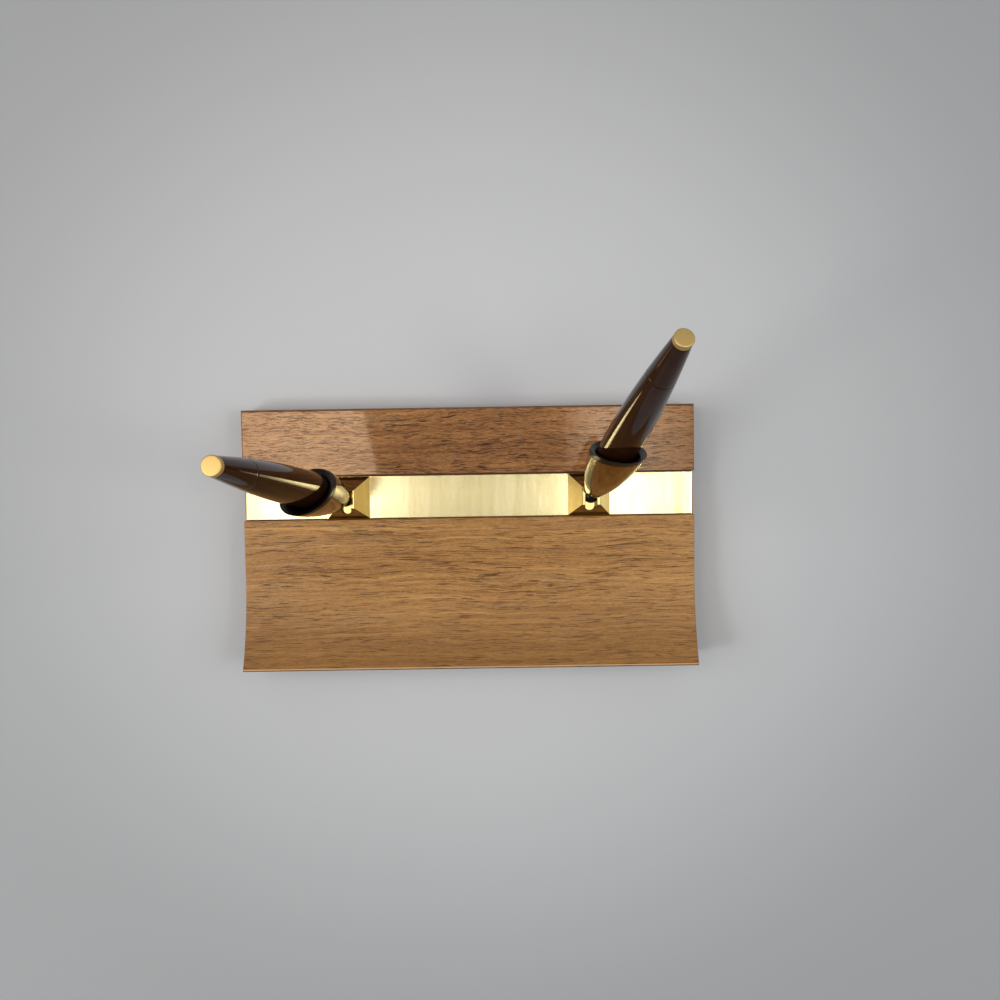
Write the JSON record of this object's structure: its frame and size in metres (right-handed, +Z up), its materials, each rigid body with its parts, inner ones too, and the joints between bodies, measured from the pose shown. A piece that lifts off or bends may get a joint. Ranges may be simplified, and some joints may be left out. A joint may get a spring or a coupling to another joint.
{
  "type": "desk pen set",
  "caption": "Walnut desk base with a brass strip and pens standing in swivelling brass trumpets on ball joints; the pens lift out.",
  "frame": {"origin": "middle of the wood base's outline, on the desk at the felt's underside", "axes": "+X to the right along the base, +Y to the back, +Z up"},
  "size_m": [0.178, 0.1177, 0.1538],
  "materials": {
    "walnut": "satin lacquer",
    "satin_brass": "brushed",
    "polished_brass": "polished",
    "satin_gold": "satin",
    "felt": "matt",
    "steel": "plain",
    "black_steel": "blackened",
    "nylon": "moulded",
    "black_plastic": "moulded",
    "pen_plastic": "polished"
  },
  "bodies": {
    "base": {"base_block": "walnut", "brass_strip": "satin_brass", "felt_pad": "felt", "mount_screws": "steel", "mount_washers": "steel", "disc_springs": "steel", "left_pedestal": "polished_brass", "right_pedestal": "polished_brass"},
    "left_cup": {"left_friction_cup": "nylon"},
    "left_stud": {"left_ball_stud": "black_steel"},
    "left_trumpet": {"left_horn": "polished_brass", "left_liner": "black_plastic"},
    "left_pen": {"left_pen_point": "steel", "left_pen_refill": "steel", "left_pen_grip": "pen_plastic", "left_pen_barrel": "pen_plastic", "left_pen_tail": "pen_plastic", "left_pen_button": "satin_gold"},
    "right_cup": {"right_friction_cup": "nylon"},
    "right_stud": {"right_ball_stud": "black_steel"},
    "right_trumpet": {"right_horn": "polished_brass", "right_liner": "black_plastic"},
    "right_pen": {"right_pen_point": "steel", "right_pen_refill": "steel", "right_pen_grip": "pen_plastic", "right_pen_barrel": "pen_plastic", "right_pen_tail": "pen_plastic", "right_pen_button": "satin_gold"}
  },
  "joints": [
    {"name": "left_swivel", "type": "hinge", "parent": "base", "child": "left_cup", "pos_m": [-0.0475, 0.016, 0.0231], "axis": [0, 0, 1], "continuous": true},
    {"name": "left_tilt", "type": "hinge", "parent": "left_cup", "child": "left_stud", "pos_m": [-0.0475, 0.016, 0.0231], "axis": [-0.766, -0.6428, 0], "range_deg": [-35.4, 16.6]},
    {"name": "left_twist", "type": "hinge", "parent": "left_stud", "child": "left_trumpet", "pos_m": [-0.0475, 0.016, 0.0231], "axis": [-0.105, 0.1251, 0.9866], "continuous": true},
    {"name": "left_pen_lift", "type": "slide", "parent": "left_trumpet", "child": "left_pen", "axis": [-0.105, 0.1251, 0.9866], "range_m": [0, 0.06]},
    {"name": "right_swivel", "type": "hinge", "parent": "base", "child": "right_cup", "pos_m": [0.0475, 0.016, 0.0231], "axis": [0, 0, 1], "continuous": true},
    {"name": "right_tilt", "type": "hinge", "parent": "right_cup", "child": "right_stud", "pos_m": [0.0475, 0.016, 0.0231], "axis": [-0.9588, 0.284, 0], "range_deg": [-48.3, 3.7]},
    {"name": "right_twist", "type": "hinge", "parent": "right_stud", "child": "right_trumpet", "pos_m": [0.0475, 0.016, 0.0231], "axis": [0.1078, 0.3638, 0.9252], "continuous": true},
    {"name": "right_pen_lift", "type": "slide", "parent": "right_trumpet", "child": "right_pen", "axis": [0.1078, 0.3638, 0.9252], "range_m": [0, 0.06]}
  ]
}
